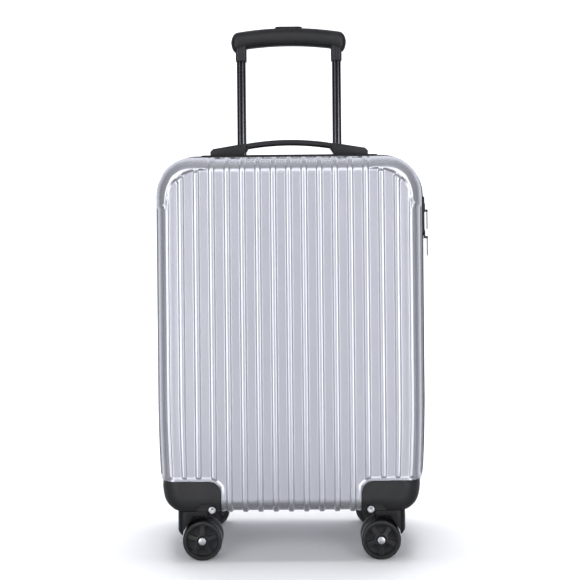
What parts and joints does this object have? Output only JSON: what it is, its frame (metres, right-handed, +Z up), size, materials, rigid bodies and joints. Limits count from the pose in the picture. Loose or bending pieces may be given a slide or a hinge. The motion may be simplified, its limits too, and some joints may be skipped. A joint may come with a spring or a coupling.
{
  "type": "hard shell suitcase on wheels",
  "caption": "Ribbed hard shell cabin case that opens like a book, on swivelling twin-wheel casters, with a pull-out trolley handle.",
  "frame": {"origin": "on the floor under the middle of the case, with all wheels on the floor", "axes": "+X towards the lock side, -Y towards the front half, +Z up"},
  "size_m": [0.3801, 0.2274, 0.73],
  "materials": {
    "shell": "satin silver coated plastic",
    "lining": "woven",
    "zip_tape": "woven tape with coil teeth",
    "webbing": "woven webbing",
    "tube_steel": "drawn",
    "tube_black": "gloss black",
    "guard_plastic": "fine texture",
    "grip_plastic": "satin",
    "dark_plastic": "moulded",
    "hardware": "zinc plated",
    "wheel": "matt"
  },
  "bodies": {
    "back_half": {"back_shell": "shell", "back_lining": "lining", "back_zip_tape": "zip_tape", "trolley_outer_tubes": "tube_steel", "trolley_base": "dark_plastic", "trolley_bezel": "grip_plastic", "packing_straps": "webbing", "strap_buckle": "dark_plastic", "handle_plate": "dark_plastic", "handle_ends": "grip_plastic", "handle_pins": "hardware", "back_screws": "hardware", "guard_RL": "guard_plastic", "guard_RR": "guard_plastic"},
    "front_half": {"front_shell": "shell", "front_lining": "lining", "front_zip_tape": "zip_tape", "front_screws": "hardware", "lock_body": "dark_plastic", "guard_FL": "guard_plastic", "guard_FR": "guard_plastic"},
    "dial_low": {"lock_dial_low": "dark_plastic"},
    "dial_mid": {"lock_dial_mid": "dark_plastic"},
    "dial_high": {"lock_dial_high": "dark_plastic"},
    "lock_button": {"lock_button": "hardware"},
    "slider_low": {"zip_slider_low": "hardware"},
    "slider_high": {"zip_slider_high": "hardware"},
    "pull_low": {"zip_pull_low": "hardware"},
    "pull_high": {"zip_pull_high": "hardware"},
    "carry_handle": {"carry_handle": "grip_plastic"},
    "trolley_middle": {"trolley_middle_tubes": "tube_black"},
    "trolley_grip": {"trolley_inner_tubes": "tube_black", "lock_plugs": "dark_plastic", "grip_body": "grip_plastic", "grip_cover": "grip_plastic", "button_springs": "hardware"},
    "release_button": {"release_button": "grip_plastic", "push_rods": "hardware"},
    "lock_pin_left": {"lock_pin_left": "hardware"},
    "lock_pin_right": {"lock_pin_right": "hardware"},
    "caster_FL": {"fork_FL": "dark_plastic", "swivel_pin_FL": "hardware", "axle_FL": "hardware"},
    "wheel_FL_front": {"wheel_FL_front": "wheel"},
    "wheel_FL_rear": {"wheel_FL_rear": "wheel"},
    "caster_FR": {"fork_FR": "dark_plastic", "swivel_pin_FR": "hardware", "axle_FR": "hardware"},
    "wheel_FR_front": {"wheel_FR_front": "wheel"},
    "wheel_FR_rear": {"wheel_FR_rear": "wheel"},
    "caster_RL": {"fork_RL": "dark_plastic", "swivel_pin_RL": "hardware", "axle_RL": "hardware"},
    "wheel_RL_front": {"wheel_RL_front": "wheel"},
    "wheel_RL_rear": {"wheel_RL_rear": "wheel"},
    "caster_RR": {"fork_RR": "dark_plastic", "swivel_pin_RR": "hardware", "axle_RR": "hardware"},
    "wheel_RR_front": {"wheel_RR_front": "wheel"},
    "wheel_RR_rear": {"wheel_RR_rear": "wheel"}
  },
  "joints": [
    {"name": "lid_hinge", "type": "hinge", "parent": "back_half", "child": "front_half", "pos_m": [-0.1876, 0, 0.296], "axis": [0, 0, -1], "range_deg": [0, 180]},
    {"name": "dial_low_spin", "type": "hinge", "parent": "front_half", "child": "dial_low", "pos_m": [0.18, -0.0205, 0.436], "axis": [0, 0, 1], "continuous": true},
    {"name": "dial_mid_spin", "type": "hinge", "parent": "front_half", "child": "dial_mid", "pos_m": [0.18, -0.0205, 0.443], "axis": [0, 0, 1], "continuous": true},
    {"name": "dial_high_spin", "type": "hinge", "parent": "front_half", "child": "dial_high", "pos_m": [0.18, -0.0205, 0.45], "axis": [0, 0, 1], "continuous": true},
    {"name": "lock_button_push", "type": "slide", "parent": "front_half", "child": "lock_button", "axis": [-1, 0, 0], "range_m": [0, 0.0025], "stiffness_N_per_m": 400, "springref_m": -0.002},
    {"name": "slider_low_run", "type": "slide", "parent": "back_half", "child": "slider_low", "axis": [0, 0, -1], "range_m": [0, 0.3]},
    {"name": "slider_high_run", "type": "slide", "parent": "back_half", "child": "slider_high", "axis": [0, 0, 1], "range_m": [0, 0.012]},
    {"name": "pull_low_flip", "type": "hinge", "parent": "slider_low", "child": "pull_low", "pos_m": [0.1913, 0, 0.4208], "axis": [0, -1, 0], "range_deg": [0, 150]},
    {"name": "pull_high_flip", "type": "hinge", "parent": "slider_high", "child": "pull_high", "pos_m": [0.1913, 0, 0.4578], "axis": [0, -1, 0], "range_deg": [0, 150]},
    {"name": "carry_handle_lift", "type": "slide", "parent": "back_half", "child": "carry_handle", "axis": [0, 0, 1], "range_m": [0, 0.005]},
    {"name": "trolley_middle_slide", "type": "slide", "parent": "back_half", "child": "trolley_middle", "axis": [0, 0, 1], "range_m": [0, 0.22]},
    {"name": "trolley_grip_slide", "type": "slide", "parent": "trolley_middle", "child": "trolley_grip", "axis": [0, 0, 1], "range_m": [-0.15, 0.08]},
    {"name": "release_press", "type": "slide", "parent": "trolley_grip", "child": "release_button", "axis": [0, 0, -1], "range_m": [0, 0.004], "stiffness_N_per_m": 1500, "springref_m": -0.003, "deforming": ["button_springs"]},
    {"name": "lock_pin_left_slide", "type": "slide", "parent": "trolley_grip", "child": "lock_pin_left", "axis": [-1, 0, 0], "range_m": [-0.0008, 0]},
    {"name": "lock_pin_right_slide", "type": "slide", "parent": "trolley_grip", "child": "lock_pin_right", "axis": [1, 0, 0], "range_m": [-0.0008, 0]},
    {"name": "swivel_FL", "type": "hinge", "parent": "front_half", "child": "caster_FL", "pos_m": [-0.127, -0.08, 0.07], "axis": [0, 0, 1], "continuous": true},
    {"name": "roll_FL_front", "type": "hinge", "parent": "caster_FL", "child": "wheel_FL_front", "pos_m": [-0.1175, -0.092, 0.026], "axis": [0, 1, 0], "continuous": true},
    {"name": "roll_FL_rear", "type": "hinge", "parent": "caster_FL", "child": "wheel_FL_rear", "pos_m": [-0.1175, -0.068, 0.026], "axis": [0, 1, 0], "continuous": true},
    {"name": "swivel_FR", "type": "hinge", "parent": "front_half", "child": "caster_FR", "pos_m": [0.127, -0.08, 0.07], "axis": [0, 0, 1], "continuous": true},
    {"name": "roll_FR_front", "type": "hinge", "parent": "caster_FR", "child": "wheel_FR_front", "pos_m": [0.1175, -0.092, 0.026], "axis": [0, 1, 0], "continuous": true},
    {"name": "roll_FR_rear", "type": "hinge", "parent": "caster_FR", "child": "wheel_FR_rear", "pos_m": [0.1175, -0.068, 0.026], "axis": [0, 1, 0], "continuous": true},
    {"name": "swivel_RL", "type": "hinge", "parent": "back_half", "child": "caster_RL", "pos_m": [-0.127, 0.08, 0.07], "axis": [0, 0, 1], "continuous": true},
    {"name": "roll_RL_front", "type": "hinge", "parent": "caster_RL", "child": "wheel_RL_front", "pos_m": [-0.1175, 0.068, 0.026], "axis": [0, 1, 0], "continuous": true},
    {"name": "roll_RL_rear", "type": "hinge", "parent": "caster_RL", "child": "wheel_RL_rear", "pos_m": [-0.1175, 0.092, 0.026], "axis": [0, 1, 0], "continuous": true},
    {"name": "swivel_RR", "type": "hinge", "parent": "back_half", "child": "caster_RR", "pos_m": [0.127, 0.08, 0.07], "axis": [0, 0, 1], "continuous": true},
    {"name": "roll_RR_front", "type": "hinge", "parent": "caster_RR", "child": "wheel_RR_front", "pos_m": [0.1175, 0.068, 0.026], "axis": [0, 1, 0], "continuous": true},
    {"name": "roll_RR_rear", "type": "hinge", "parent": "caster_RR", "child": "wheel_RR_rear", "pos_m": [0.1175, 0.092, 0.026], "axis": [0, 1, 0], "continuous": true}
  ],
  "couplings": [
    {"joint": "lock_pin_left_slide", "follows": "release_press", "ratio": -0.2},
    {"joint": "lock_pin_right_slide", "follows": "release_press", "ratio": -0.2}
  ]
}
